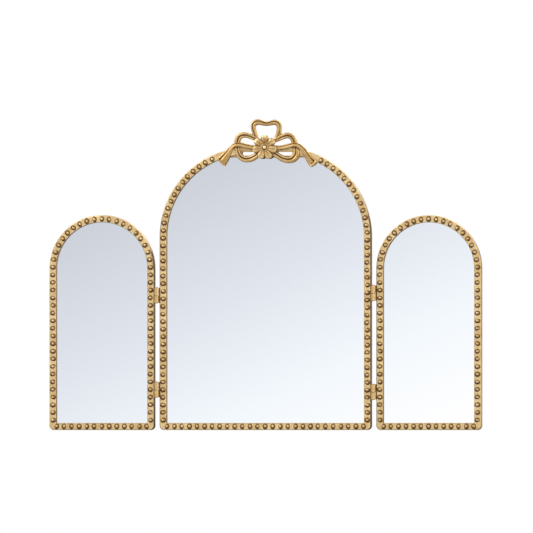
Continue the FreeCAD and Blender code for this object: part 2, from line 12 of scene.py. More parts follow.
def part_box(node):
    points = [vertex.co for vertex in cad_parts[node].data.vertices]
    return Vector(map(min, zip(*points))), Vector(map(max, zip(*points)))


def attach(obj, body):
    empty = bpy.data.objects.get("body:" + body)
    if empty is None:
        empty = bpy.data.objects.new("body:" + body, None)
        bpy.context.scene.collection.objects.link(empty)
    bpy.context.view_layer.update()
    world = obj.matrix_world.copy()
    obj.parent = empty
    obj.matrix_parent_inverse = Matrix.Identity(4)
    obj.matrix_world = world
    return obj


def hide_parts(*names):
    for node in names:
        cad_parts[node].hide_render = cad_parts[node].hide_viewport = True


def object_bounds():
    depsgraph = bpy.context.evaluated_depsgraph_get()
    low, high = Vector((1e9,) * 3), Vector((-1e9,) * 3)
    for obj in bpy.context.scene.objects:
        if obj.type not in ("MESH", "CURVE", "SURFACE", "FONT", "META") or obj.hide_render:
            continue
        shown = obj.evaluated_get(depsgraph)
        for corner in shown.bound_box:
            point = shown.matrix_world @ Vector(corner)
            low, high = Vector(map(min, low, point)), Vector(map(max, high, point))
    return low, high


bl_info = {
    "name": "Folding Triple Mirror",
    "version": (1, 0, 0),
    "blender": (4, 5, 0),
    "location": "View3D > Sidebar > Mirror",
    "description": "Builds the finish of a gilded triptych mirror on its packed frame",
    "category": "Object",
}

MM = 0.001
PANELS = {"centre": "centre_panel", "left_wing": "left_wing", "right_wing": "right_wing"}

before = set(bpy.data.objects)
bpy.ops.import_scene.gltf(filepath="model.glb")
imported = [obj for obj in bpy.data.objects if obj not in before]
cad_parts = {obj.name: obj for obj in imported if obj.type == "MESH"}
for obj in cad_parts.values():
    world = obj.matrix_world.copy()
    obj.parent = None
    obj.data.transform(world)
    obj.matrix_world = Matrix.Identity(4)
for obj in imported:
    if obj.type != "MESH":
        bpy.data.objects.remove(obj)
cad_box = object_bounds()
crest_low, crest_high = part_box("crest_rosette_pin")
bow_low, bow_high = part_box("crest_bow")
PINS = [sum(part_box(side + "_lower_hinge_pin"), Vector()) / 2 for side in ("left", "right")]
CREST = ((crest_low + crest_high) / 2).x, bow_high.y, ((crest_low + crest_high) / 2).z

# The bow's ribbons from the knot outwards, about the flower's middle, in millimetres: across,
# up, width and how far the ribbon stands out.
HEART_LOOP = [
    (-9, 8, 7, 4.6), (-13.6, 14.4, 7.4, 4.6), (-17.6, 23.2, 8.3, 4.6), (-20.8, 34.2, 9.1, 4.8),
    (-19.3, 41.5, 10.2, 4.8), (-11.4, 44.6, 10.8, 4.4), (2.7, 41.5, 8, 4), (16.8, 44.1, 10, 4.4),
    (24.2, 40.5, 10.2, 4.9), (25.1, 32, 9.6, 4.9), (23.4, 23.2, 9.3, 4.8), (19, 14.4, 8.1, 4.7),
    (11, 8, 7, 4.6),
]
LEFT_LOOPS = [
    (-12.2, 11.4, 7.4, 4.8), (-19.6, 16.6, 8.9, 4.8), (-27, 19.9, 9.7, 4.6),
    (-35.9, 21.9, 10, 4.4), (-44.8, 19.5, 11, 4.4), (-48.9, 12.6, 11.2, 4.4),
    (-50, 4.1, 9.7, 4), (-49.5, -4.7, 9.1, 4), (-46.3, -13.5, 10, 4.2), (-39.6, -19.4, 11.2, 4.4),
    (-31.4, -20.8, 11.5, 4.6), (-22.5, -18.2, 11, 4.8), (-13.6, -12.8, 8.9, 4.8),
]
RIGHT_LOOPS = [
    (13, 11.4, 7.4, 4.8), (20.5, 13.6, 8.3, 4.8), (29.4, 18, 10, 4.6), (39, 21, 10.6, 4.4),
    (47.2, 18.8, 11, 4.4), (51.3, 12.2, 10.6, 4.4), (53.8, 4.1, 9.7, 4), (54.9, -4.7, 11.6, 4),
    (54.3, -13.5, 13, 4.2), (48.6, -20.1, 12.8, 4.4), (40.5, -21.9, 12.2, 4.6),
    (30.8, -19.4, 11.5, 4.8), (21.9, -14.2, 10.3, 4.8), (13.8, -9.1, 8.3, 4.8),
]
LEFT_TAIL = [
    (-12.2, 0, 7.1, 6), (-22.5, 0.3, 8, 6), (-32.9, 2.1, 8.6, 6), (-43.3, 4.4, 9.1, 6),
    (-52.2, 4.4, 8.3, 5.8), (-58.9, 0.4, 7.7, 5.4), (-64.8, -7.6, 10.9, 5.2),
    (-72.2, -17.9, 15.3, 5), (-78.5, -25.6, 18.2, 4.6),
]
RIGHT_TAIL = [
    (12.3, -0.3, 7.1, 6), (21.9, -1, 7.7, 6), (32.3, 0.1, 8.6, 6), (42.7, 2.6, 8.8, 6),
    (52.4, 4.7, 8.3, 6), (60.5, 2.6, 8.8, 5.8), (68.7, -4.7, 9.7, 5.4), (74.6, -14.2, 10.8, 5.2),
    (80.1, -22.3, 13.6, 5), (85.5, -27.9, 16.6, 4.6),
]
RIGHT_ROLL = [(91.2, -23.2, 4.6, 5.6), (87, -29, 4.4, 5.9), (80.6, -33.2, 4.2, 5.6)]
LEFT_HEM = [(-71.6, -32.4, 3, 5), (-78.6, -26.6, 2.8, 5.2), (-84.2, -19.6, 2.8, 5)]


def linear(code):
    """An sRGB hex colour as linear red, green, blue and alpha."""
    parts = [int(code[i:i + 2], 16) / 255 for i in (1, 3, 5)]
    return [c / 12.92 if c <= 0.04045 else ((c + 0.055) / 1.055) ** 2.4 for c in parts] + [1.0]


def picked(code):
    """The default of a colour property, which holds linear values."""
    return linear(code)[:3]


class MirrorSizes(bpy.types.PropertyGroup):
    """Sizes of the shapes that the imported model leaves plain."""

    dome_radius: bpy.props.FloatProperty(
        name="Bead radius", description="Radius of a bead's dome at its foot",
        default=3.6 * MM, min=1 * MM, max=4.5 * MM, precision=5, subtype="DISTANCE", unit="LENGTH",
    )
    bead_stretch: bpy.props.FloatProperty(
        name="Bead stretch", description="How much wider a bead is across the moulding than along it",
        default=1.16, min=1, max=1.25, subtype="FACTOR",
    )
    dome_height: bpy.props.FloatProperty(
        name="Bead height", description="How far a bead stands out of the moulding",
        default=2.9 * MM, min=0.5 * MM, max=3 * MM, precision=5, subtype="DISTANCE", unit="LENGTH",
    )
    collar_radius: bpy.props.FloatProperty(
        name="Collar radius", description="Outer radius of the punched ring round a bead",
        default=4.85 * MM, min=4 * MM, max=6 * MM, precision=5, subtype="DISTANCE", unit="LENGTH",
    )
    bead_variation: bpy.props.FloatProperty(
        name="Bead variation", description="How much hand-cast beads differ in size",
        default=0.07, min=0, max=0.2, subtype="FACTOR",
    )
    bead_tilt: bpy.props.FloatProperty(
        name="Bead tilt", description="The most that a hand-cast bead leans",
        default=math.radians(5), min=0, max=math.radians(15), subtype="ANGLE", unit="ROTATION",
    )
    groove_depth: bpy.props.FloatProperty(
        name="Ribbon groove", description="Depth of the grooves along the ribbons",
        default=1.8 * MM, min=0, max=2.5 * MM, precision=5, subtype="DISTANCE", unit="LENGTH",
    )
    bow_grain: bpy.props.FloatProperty(
        name="Bow grain", description="Size of the facets that the bow is cast from",
        default=0.62 * MM, min=0.4 * MM, max=2 * MM, precision=5, subtype="DISTANCE", unit="LENGTH",
    )
    petals: bpy.props.IntProperty(
        name="Petals", description="How many petals the flower has", default=7, min=5, max=9,
    )
    petal_reach: bpy.props.FloatProperty(
        name="Petal reach", description="From the flower's middle to a petal's tip",
        default=21.6 * MM, min=10 * MM, max=22 * MM, precision=5, subtype="DISTANCE",
        unit="LENGTH",
    )


class MirrorColours(bpy.types.PropertyGroup):
    """Colours of the finishes."""

    gold: bpy.props.FloatVectorProperty(
        name="Gold", description="Metal leaf on the frames and the bow",
        default=picked("#B68A48"), size=3, min=0, max=1, subtype="COLOR",
    )
    worn_gold: bpy.props.FloatVectorProperty(
        name="Rubbed gold", description="Leaf burnished on the high places",
        default=picked("#FCDDA2"), size=3, min=0, max=1, subtype="COLOR",
    )
    # Umber is also the colour of the painted shade on undersides, on hinged sides and on the walls
    # round the glass.
    umber: bpy.props.FloatVectorProperty(
        name="Umber", description="Antiquing glaze left in the hollows",
        default=picked("#4A2D12"), size=3, min=0, max=1, subtype="COLOR",
    )
    brass: bpy.props.FloatVectorProperty(
        name="Brass", description="Hinges, their pins and screws",
        default=picked("#E2BE80"), size=3, min=0, max=1, subtype="COLOR",
    )
    silver: bpy.props.FloatVectorProperty(
        name="Silvering", description="Reflection of the silvered glass",
        default=picked("#FAFAFA"), size=3, min=0, max=1, subtype="COLOR",
    )
    fibreboard: bpy.props.FloatVectorProperty(
        name="Fibreboard", description="Back boards",
        default=picked("#A98B67"), size=3, min=0, max=1, subtype="COLOR",
    )
    zinc: bpy.props.FloatVectorProperty(
        name="Zinc", description="Clips and back screws",
        default=picked("#B9BCBD"), size=3, min=0, max=1, subtype="COLOR",
    )


class MirrorStage(bpy.types.PropertyGroup):
    """Camera and light."""

    azimuth: bpy.props.FloatProperty(
        name="Azimuth", description="How far the camera stands to the right",
        default=math.radians(8.5), subtype="ANGLE", unit="ROTATION",
    )
    view_width: bpy.props.FloatProperty(
        name="View width", description="Width of what the camera takes in",
        default=938.1 * MM, precision=4, subtype="DISTANCE", unit="LENGTH",
    )
    aim_height: bpy.props.FloatProperty(
        name="Aim height", description="Height of the camera's line of sight",
        default=287.8 * MM, precision=4, subtype="DISTANCE", unit="LENGTH",
    )
    aim_side: bpy.props.FloatProperty(
        name="Aim sideways", description="How far the line of sight passes right of the origin",
        default=1.1 * MM, precision=4, subtype="DISTANCE", unit="LENGTH",
    )
    key_power: bpy.props.FloatProperty(
        name="Key light", description="Power of the large lamp at the upper left",
        default=26, min=0, subtype="POWER", unit="POWER",
    )
    fill_power: bpy.props.FloatProperty(
        name="Fill light", description="Power of the large lamp at the right",
        default=9, min=0, subtype="POWER", unit="POWER",
    )
    back_power: bpy.props.FloatProperty(
        name="Back light", description="Power of the large lamp behind",
        default=22, min=0, subtype="POWER", unit="POWER",
    )
    ambient: bpy.props.FloatProperty(
        name="Ambient", description="Strength of the light from all round",
        default=0.45, min=0, max=1, subtype="FACTOR",
    )
    card_distance: bpy.props.FloatProperty(
        name="Card distance", description="How far in front the pale card stands",
        default=3.0, precision=3, subtype="DISTANCE", unit="LENGTH",
    )


class MirrorSettings(bpy.types.PropertyGroup):
    """All settings of the mirror."""

    sizes: bpy.props.PointerProperty(type=MirrorSizes, name="Sizes", description="Sizes")
    colours: bpy.props.PointerProperty(type=MirrorColours, name="Colours", description="Colours")
    stage: bpy.props.PointerProperty(type=MirrorStage, name="Stage", description="Stage")


def settings():
    """The mirror's settings on the open scene."""
    return bpy.context.scene.folding_mirror


# Nodes and materials


def node(tree, kind, setup=None, inputs=None):
    """Adds a node with its settings, and gives its inputs their values or links."""
    made = tree.nodes.new(kind)
    for name, value in (setup or {}).items():
        setattr(made, name, value)
    for key, value in (inputs or {}).items():
        if isinstance(value, bpy.types.NodeSocket):
            tree.links.new(value, made.inputs[key])
        else:
            made.inputs[key].default_value = value
    return made


def new_material(name):
    """An empty material and its tree."""
    material = bpy.data.materials.new(name)
    material.use_nodes = True
    material.node_tree.nodes.clear()
    return material, material.node_tree


def noise(tree, size, detail=3.0, roughness=0.55, stretch=(1, 1, 1)):
    """A noise whose patches are about size metres across, on the piece's own coordinates."""
    place = node(tree, "ShaderNodeTexCoord").outputs["Object"]
    place = node(tree, "ShaderNodeMapping", inputs={"Vector": place, "Scale": stretch})
    return node(tree, "ShaderNodeTexNoise", inputs={
        "Vector": place.outputs["Vector"], "Scale": 1 / size, "Detail": detail,
        "Roughness": roughness,
    }).outputs["Fac"]


def remap(tree, value, low, high, to_low=0.0, to_high=1.0):
    """A value's range moved to another, with the ends held."""
    return node(tree, "ShaderNodeMapRange", inputs={
        "Value": value, "From Min": low, "From Max": high, "To Min": to_low, "To Max": to_high,
    }).outputs["Result"]


def blend(tree, factor, a, b):
    """A colour between a and b."""
    return node(
        tree, "ShaderNodeMix", {"data_type": "RGBA"}, {0: factor, 6: a, 7: b}
    ).outputs[2]


def combine(tree, operation, a, b):
    """Two numbers combined."""
    return node(
        tree, "ShaderNodeMath", {"operation": operation, "use_clamp": True}, {0: a, 1: b}
    ).outputs[0]


def finish(tree, shader):
    """Ends a material's tree in its shader."""
    node(tree, "ShaderNodeOutputMaterial", inputs={"Surface": shader})


def gilding(name, polish=1.0):
    """Metal leaf over cast resin, rubbed back and glazed with umber. The leaf is bright and
    uneven on the high places, and the glaze leaves the hollows dark brown and dull. Faces that point
    down, and faces marked as shade, are painted darker towards the umber as shade."""
    material, tree = new_material(name)
    colours = settings().colours
    patina_and_shade = node(tree, "ShaderNodeAttribute", {"attribute_name": "patina_and_shade"}).outputs["Fac"]
    ridge = node(tree, "ShaderNodeAttribute", {"attribute_name": "ridge"}).outputs["Fac"]
    # Leaf laid by hand varies over about 14 mm, and its worn specks are about 1.4 mm.
    cloud = noise(tree, 14 * MM, detail=4)
    speck = noise(tree, 1.4 * MM, detail=3, roughness=0.65)
    rub = combine(tree, "ADD", remap(tree, cloud, 0.4, 0.65, 0, 0.4), ridge)
    rub = remap(tree, rub, 0, 1, 0, polish)
    leaf = blend(tree, rub, [*colours.gold, 1], [*colours.worn_gold, 1])
    # Painted shade: faces that point down are darkened towards umber, as shade under everything that
    # stands out.
    shape = node(tree, "ShaderNodeSeparateXYZ", inputs={
        0: node(tree, "ShaderNodeTexCoord").outputs["Normal"],
    }).outputs["Z"]
    under = remap(tree, shape, -0.1, -0.75, 0, 0.5)
    # The worn specks, the patina and painted shade of the marks, and the painted underside shade
    # together pull the colour to umber.
    wear_patina_and_shade = combine(tree, "ADD", remap(tree, speck, 0.58, 0.76, 0, 0.4), patina_and_shade)
    wear_patina_and_shade = combine(tree, "ADD", wear_patina_and_shade, under)
    colour = blend(tree, wear_patina_and_shade, leaf, [*colours.umber, 1])
    # Brush marks and casting pits, drawn a little coarser than real so that they show.
    height = combine(tree, "ADD", speck, noise(tree, 5 * MM, detail=2))
    bump = node(tree, "ShaderNodeBump", inputs={
        "Strength": 0.25, "Distance": 0.3 * MM, "Height": height,
    }).outputs["Normal"]
    shader = node(tree, "ShaderNodeBsdfPrincipled", inputs={
        "Base Color": colour,
        "Metallic": remap(tree, wear_patina_and_shade, 0, 1, 0.88, 0.35),
        "Roughness": remap(tree, wear_patina_and_shade, 0, 1, 0.36, 0.62),
        "Normal": bump,
    }).outputs[0]
    finish(tree, shader)
    return material


def silvered_glass(name, front):
    """Silvered float glass: a clear, very slightly cool reflection. The grey paint that protects
    the silver covers its back and edges."""
    material, tree = new_material(name)
    place = node(tree, "ShaderNodeTexCoord").outputs["Object"]
    depth = node(tree, "ShaderNodeSeparateXYZ", inputs={0: place}).outputs["Y"]
    back = node(tree, "ShaderNodeMath", {"operation": "GREATER_THAN"}, {
        0: depth, 1: front + 0.05 * MM,
    }).outputs[0]
    # Brushed-on paint streaks of about 3 mm.
    streak = noise(tree, 3 * MM, stretch=(0.2, 1, 1))
    paint = blend(tree, streak, linear("#7E8385"), linear("#969A9B"))
    silver = node(tree, "ShaderNodeBsdfPrincipled", inputs={
        "Base Color": [*settings().colours.silver, 1], "Metallic": 1.0, "Roughness": 0.015,
    }).outputs[0]
    painted = node(tree, "ShaderNodeBsdfPrincipled", inputs={
        "Base Color": paint, "Roughness": 0.6,
    }).outputs[0]
    finish(tree, node(tree, "ShaderNodeMixShader", inputs={
        0: back, 1: silver, 2: painted,
    }).outputs[0])
    return material


def hinge_brass(name):
    """Satin rolled brass, a little tarnished: warm, softly streaked along the leaf, with darker
    blotches, and darker still where the leaf's painted shade is marked."""
    material, tree = new_material(name)
    brass = settings().colours.brass
    streak = noise(tree, 0.9 * MM, detail=4, stretch=(1, 1, 0.12))
    tarnish_and_shade = noise(tree, 4 * MM, detail=4)
    patina_and_shade = node(tree, "ShaderNodeAttribute", {"attribute_name": "patina_and_shade"}).outputs["Fac"]
    # Tarnish blotches, plus painted shade in the knuckle seams and on the leaf plates.
    tarnish_and_shade = combine(tree, "ADD", remap(tree, tarnish_and_shade, 0.5, 0.8, 0, 0.4), patina_and_shade)
    colour = blend(tree, tarnish_and_shade, [*brass, 1], linear("#5A3A1A"))
    bump = node(tree, "ShaderNodeBump", inputs={
        "Strength": 0.2, "Distance": 0.1 * MM, "Height": streak,
    }).outputs["Normal"]
    finish(tree, node(tree, "ShaderNodeBsdfPrincipled", inputs={
        "Base Color": colour, "Metallic": 1.0,
        "Roughness": remap(tree, streak, 0.3, 0.7, 0.24, 0.4), "Normal": bump,
    }).outputs[0])
    return material


def zinc_plate(name):
    """Zinc-plated mild steel: pale grey with a faint bluish spangle."""
    material, tree = new_material(name)
    spangle = noise(tree, 1.6 * MM, detail=2)
    colour = blend(tree, spangle, [*settings().colours.zinc, 1], linear("#9AA0A6"))
    finish(tree, node(tree, "ShaderNodeBsdfPrincipled", inputs={
        "Base Color": colour, "Metallic": 1.0,
        "Roughness": remap(tree, spangle, 0.3, 0.7, 0.3, 0.48),
    }).outputs[0])
    return material


def fibreboard(name):
    """Medium-density fibreboard: matt tan with short, fine fibres and soft mottling."""
    material, tree = new_material(name)
    board = settings().colours.fibreboard
    # Fibres of about 0.7 mm by 4 mm, and mottling of about 30 mm.
    fibre = noise(tree, 0.7 * MM, detail=3, stretch=(0.18, 1, 1))
    mottle = noise(tree, 30 * MM, detail=3)
    colour = blend(tree, remap(tree, fibre, 0.35, 0.7), [*board, 1], linear("#7F6446"))
    colour = blend(tree, remap(tree, mottle, 0.4, 0.7, 0, 0.35), colour, linear("#C2A57F"))
    bump = node(tree, "ShaderNodeBump", inputs={
        "Strength": 0.25, "Distance": 0.15 * MM, "Height": fibre,
    }).outputs["Normal"]
    finish(tree, node(tree, "ShaderNodeBsdfPrincipled", inputs={
        "Base Color": colour, "Roughness": 0.82, "Normal": bump,
    }).outputs[0])
    return material


def dress(node_names, material):
    """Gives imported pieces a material."""
    for name in node_names:
        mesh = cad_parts[name].data
        mesh.materials.clear()
        mesh.materials.append(material)


def nodes_ending(*endings):
    """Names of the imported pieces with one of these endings."""
    return sorted(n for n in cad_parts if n.endswith(endings))


# Meshes


def add_object(name, mesh):
    """A new object in the scene."""
    made = bpy.data.objects.new(name, mesh)
    bpy.context.scene.collection.objects.link(made)
    return made


def drop_object(made):
    """Removes a helper object and its mesh."""
    mesh = made.data
    bpy.data.objects.remove(made)
    bpy.data.meshes.remove(mesh)


def store(mesh, name, values, domain="POINT"):
    """Keeps one number per point or face on the mesh."""
    layer = mesh.attributes.new(name, "FLOAT", domain)
    layer.data.foreach_set("value", np.asarray(values, np.float32))


def made_plain(piece):
    """Turns a piece's modifiers into its mesh."""
    depsgraph = bpy.context.evaluated_depsgraph_get()
    mesh = bpy.data.meshes.new_from_object(piece.evaluated_get(depsgraph))
    old = piece.data
    piece.modifiers.clear()
    piece.data = mesh
    bpy.data.meshes.remove(old)
    return piece


def sharpen(bm, angle):
    """Smooth faces, with an edge kept sharp where it turns by more than angle."""
    for face in bm.faces:
        face.smooth = True
    for edge in bm.edges:
        edge.smooth = len(edge.link_faces) == 2 and edge.calc_face_angle(0) < angle


def lathe_mesh(name, profile, segments):
    """A shape turned about -Y. The profile gives radius, height, patina_and_shade and ridge from the
    middle outwards, in metres."""
    bm = bmesh.new()
    rings = []
    for radius, height, _, _ in profile:
        if radius == 0:
            rings.append([bm.verts.new((0, -height, 0))])
            continue
        turns = [math.tau * i / segments for i in range(segments)]
        rings.append([
            bm.verts.new((radius * math.cos(a), -height, radius * math.sin(a))) for a in turns
        ])
    for inner, outer in zip(rings, rings[1:]):
        for i in range(segments):
            j = (i + 1) % segments
            corners = [inner[i % len(inner)], outer[i], outer[j]]
            if len(inner) > 1:
                corners.append(inner[j])
            bm.faces.new(corners)
    bm.faces.new(rings[-1])
    bmesh.ops.recalc_face_normals(bm, faces=bm.faces)
    for face in bm.faces:
        face.smooth = True
    mesh = bpy.data.meshes.new(name)
    bm.to_mesh(mesh)
    bm.free()
    counts = [1 if radius == 0 else segments for radius, _, _, _ in profile]
    store(mesh, "patina_and_shade", np.repeat([p[2] for p in profile], counts))
    store(mesh, "ridge", np.repeat([p[3] for p in profile], counts))
    return mesh


def new_tree(name, sockets):
    """An empty Geometry Nodes tree with named inputs: name, socket type and default."""
    tree = bpy.data.node_groups.new(name, "GeometryNodeTree")
    tree.interface.new_socket("Geometry", in_out="INPUT", socket_type="NodeSocketGeometry")
    for title, kind, default in sockets:
        socket = tree.interface.new_socket(title, in_out="INPUT", socket_type="NodeSocket" + kind)
        if default is not None:
            socket.default_value = default
    tree.interface.new_socket("Geometry", in_out="OUTPUT", socket_type="NodeSocketGeometry")
    return tree


def run_tree(piece, tree, values):
    """Runs a tree on a piece with its inputs set, and keeps the result as a plain mesh."""
    modifier = piece.modifiers.new(tree.name, "NODES")
    modifier.node_group = tree
    for item in tree.interface.items_tree:
        if item.in_out == "INPUT" and item.name in values:
            modifier[item.identifier] = values[item.name]
    return made_plain(piece)


def beading_tree():
    """Sets a bead on every bead centre, each a little different, and joins them to the frame."""
    tree = new_tree("Beading", [
        ("Bead", "Object", None), ("Bead Centres", "Object", None), ("Variation", "Float", 0.05),
        ("Tilt", "Float", 0.05), ("Seed", "Int", 1), ("Material", "Material", None),
    ])
    given = node(tree, "NodeGroupInput").outputs
    bead = node(tree, "GeometryNodeObjectInfo", inputs={"Object": given["Bead"]})
    centres = node(tree, "GeometryNodeObjectInfo", inputs={"Object": given["Bead Centres"]})
    least = node(tree, "ShaderNodeMath", {"operation": "SUBTRACT"}, {0: 1.0, 1: given["Variation"]})
    size = node(tree, "FunctionNodeRandomValue", {"data_type": "FLOAT"}, {
        2: least.outputs[0], 3: 1.02, "Seed": given["Seed"],
    }).outputs[1]
    back = node(tree, "ShaderNodeMath", {"operation": "MULTIPLY"}, {0: given["Tilt"], 1: -1.0})
    low = node(tree, "ShaderNodeCombineXYZ", inputs={
        "X": back.outputs[0], "Y": 0.0, "Z": back.outputs[0],
    })
    high = node(tree, "ShaderNodeCombineXYZ", inputs={
        "X": given["Tilt"], "Y": 0.0, "Z": given["Tilt"],
    })
    lean = node(tree, "FunctionNodeRandomValue", {"data_type": "FLOAT_VECTOR"}, {
        0: low.outputs[0], 1: high.outputs[0], "Seed": given["Seed"],
    }).outputs[0]
    turn = node(tree, "GeometryNodeInputNamedAttribute", {"data_type": "FLOAT"}, {"Name": "turn"})
    turn = node(tree, "ShaderNodeCombineXYZ", inputs={"Y": turn.outputs[0]})
    lean = node(tree, "ShaderNodeVectorMath", {"operation": "ADD"}, {
        0: lean, 1: turn.outputs[0],
    }).outputs[0]
    beads = node(tree, "GeometryNodeInstanceOnPoints", inputs={
        "Points": centres.outputs["Geometry"], "Instance": bead.outputs["Geometry"],
        "Rotation": lean, "Scale": size,
    })
    joined = node(tree, "GeometryNodeJoinGeometry", inputs={"Geometry": beads.outputs[0]})
    tree.links.new(given["Geometry"], joined.inputs["Geometry"])
    real = node(tree, "GeometryNodeRealizeInstances", inputs={"Geometry": joined.outputs[0]})
    painted = node(tree, "GeometryNodeSetMaterial", inputs={
        "Geometry": real.outputs[0], "Material": given["Material"],
    })
    node(tree, "NodeGroupOutput", inputs={"Geometry": painted.outputs[0]})
    return tree


def petal_tree():
    """Sets copies of one petal round the flower's middle."""
    tree = new_tree("Petals", [
        ("Petal", "Object", None), ("Count", "Int", 7), ("Material", "Material", None),
        ("Middle", "Vector", (0, 0, 0)),
    ])
    given = node(tree, "NodeGroupInput").outputs
    petal = node(tree, "GeometryNodeObjectInfo", inputs={"Object": given["Petal"]})
    spots = node(tree, "GeometryNodeMeshLine", {"mode": "OFFSET"}, {
        "Count": given["Count"], "Offset": (0, 0, 0), "Start Location": given["Middle"],
    })
    step = node(tree, "ShaderNodeMath", {"operation": "DIVIDE"}, {
        0: math.tau, 1: given["Count"],
    })
    turn = node(tree, "ShaderNodeMath", {"operation": "MULTIPLY"}, {
        0: node(tree, "GeometryNodeInputIndex").outputs[0], 1: step.outputs[0],
    })
    spin = node(tree, "ShaderNodeCombineXYZ", inputs={"Y": turn.outputs[0]})
    petals = node(tree, "GeometryNodeInstanceOnPoints", inputs={
        "Points": spots.outputs["Mesh"], "Instance": petal.outputs["Geometry"],
        "Rotation": spin.outputs[0],
    })
    joined = node(tree, "GeometryNodeJoinGeometry", inputs={"Geometry": petals.outputs[0]})
    tree.links.new(given["Geometry"], joined.inputs["Geometry"])
    real = node(tree, "GeometryNodeRealizeInstances", inputs={"Geometry": joined.outputs[0]})
    painted = node(tree, "GeometryNodeSetMaterial", inputs={
        "Geometry": real.outputs[0], "Material": given["Material"],
    })
    node(tree, "NodeGroupOutput", inputs={"Geometry": painted.outputs[0]})
    return tree


# The frames


def face_height(bm):
    """Y of the moulding's flat face: the largest flat area that faces forwards."""
    areas = {}
    for face in bm.faces:
        if face.normal.y < -0.9999:
            y = round(face.calc_center_median().y, 5)
            areas[y] = areas.get(y, 0) + face.calc_area()
    return max(areas, key=areas.get)


def bare_frame(node_name):
    """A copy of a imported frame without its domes, and where the domes stood."""
    bm = bmesh.new()
    bm.from_mesh(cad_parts[node_name].data)
    bmesh.ops.remove_doubles(bm, verts=bm.verts, dist=2e-6)
    bm.normal_update()
    front = face_height(bm)
    domes = [f for f in bm.faces if min(v.co.y for v in f.verts) < front - 1e-5]
    centres = dome_centres(domes, front)
    bmesh.ops.delete(bm, geom=domes, context="FACES")
    rims = [e for e in bm.edges if e.is_boundary]
    bmesh.ops.holes_fill(bm, edges=rims, sides=0)
    bmesh.ops.triangulate(bm, faces=[f for f in bm.faces if len(f.verts) > 4])
    bmesh.ops.recalc_face_normals(bm, faces=bm.faces)
    sharpen(bm, math.radians(32))
    bm.normal_update()
    middle = sum(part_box(node_name), Vector()) / 2
    # Each face's patina, painted shade and rubbing.
    glaze = [patina_and_shade_on(f.normal, f.calc_center_median(), middle) for f in bm.faces]
    patina_and_shade, ridge = zip(*glaze)
    mesh = bpy.data.meshes.new(node_name)
    bm.to_mesh(mesh)
    bm.free()
    store(mesh, "patina_and_shade", patina_and_shade, "FACE")
    store(mesh, "ridge", ridge, "FACE")
    return mesh, centres


def patina_and_shade_on(normal, place, middle):
    """How much patina and painted shade, and how much rubbing, a face of a frame has: the front is
    rubbed bright and the outer sides keep some glaze. The hinged sides, which face the narrow gap
    between panels, and the walls round the glass are painted dark as shade."""
    inwards = normal.x * (middle.x - place.x) + normal.z * (middle.z - place.z) > 0
    beside = any(abs(place.x - pin.x) < 10 * MM for pin in PINS)
    hinged = not inwards and beside and abs(normal.x) > 0.3
    # Painted shade: hinged sides and their roundings are darkened as the shade in the gap between
    # panels. The walls and roundings round the glass are darkened as the shade along the glass's edge.
    if normal.y < -0.98:
        return 0.0, 0.6
    if normal.y < -0.05:
        return (0.95, 0.0) if hinged else (0.4, 0.2) if inwards else (0.12, 0.4)
    if hinged:
        return 1.0, 0.0
    return (0.85, 0.0) if inwards else (0.45, 0.0)


def dome_centres(domes, front):
    """The middle of each dome, as points on the moulding's face."""
    left = set(domes)
    centres = []
    while left:
        group = [left.pop()]
        places = []
        while group:
            face = group.pop()
            places += [(v.co.x, v.co.z) for v in face.verts]
            for edge in face.edges:
                for other in edge.link_faces:
                    if other in left:
                        left.remove(other)
                        group.append(other)
        spread = np.array(places)
        middle = (spread.min(0) + spread.max(0)) / 2
        centres.append((middle[0], front, middle[1]))
    return sorted(centres, key=lambda c: (round(c[0], 5), round(c[2], 5)))


def bead_turns(centres):
    """How far each bead is turned so that its long way lies across the row of beads."""
    places = np.array(centres)[:, (0, 2)]
    turns = []
    for place in places:
        near = np.argsort(np.linalg.norm(places - place, axis=1))[1:3]
        row = places[near[0]] - places[near[1]]
        turns.append(math.atan2(row[0], row[1]))
    return turns


def bead_mesh():
    """One bead: a dome, the groove round it where the glaze stays, and a low collar."""
    sizes = settings().sizes
    r, h, collar = sizes.dome_radius, sizes.dome_height, sizes.collar_radius
    mesh = lathe_mesh("bead", [
        (0, h, 0.05, 0.55), (r * 0.4, h * 0.92, 0.15, 0.4), (r * 0.74, h * 0.62, 0.5, 0.1),
        (r, h * 0.1, 0.95, 0), ((r + collar) / 2, 0.1 * MM, 0.85, 0),
        (collar, 0.25 * MM, 0.3, 0.4), (collar + 0.2 * MM, -0.3 * MM, 0.1, 0.5),
    ], 14)
    mesh.transform(Matrix.Diagonal((sizes.bead_stretch, 1, 1, 1)))
    return mesh


class MIRROR_OT_frames(bpy.types.Operator):
    """Gilds the three frames and sets their beading."""

    bl_idname = "mirror.frames"
    bl_label = "Gilded frames"

    def execute(self, context):
        sizes = settings().sizes
        material = gilding("gold leaf over cast resin")
        tree = beading_tree()
        bead = add_object("bead", bead_mesh())
        for seed, (panel, body) in enumerate(PANELS.items(), start=3):
            node_name = panel + "_frame"
            mesh, centres = bare_frame(node_name)
            if not centres:
                raise RuntimeError(f"{node_name} has no domes to set beads on")
            piece = add_object("gilded_" + node_name, mesh)
            spots = bpy.data.meshes.new("bead centres")
            spots.from_pydata(centres, [], [])
            store(spots, "turn", bead_turns(centres))
            spots = add_object("bead centres", spots)
            run_tree(piece, tree, {
                "Bead": bead, "Bead Centres": spots, "Variation": sizes.bead_variation,
                "Tilt": sizes.bead_tilt, "Seed": seed, "Material": material,
            })
            drop_object(spots)
            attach(piece, body)
            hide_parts(node_name)
        drop_object(bead)
        return {"FINISHED"}


class MIRROR_OT_glass(bpy.types.Operator):
    """Silvers the three glasses."""

    bl_idname = "mirror.glass"
    bl_label = "Mirror glasses"

    def execute(self, context):
        names = nodes_ending("mirror_glass")
        dress(names, silvered_glass("silvered float glass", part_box(names[0])[0].y))
        return {"FINISHED"}


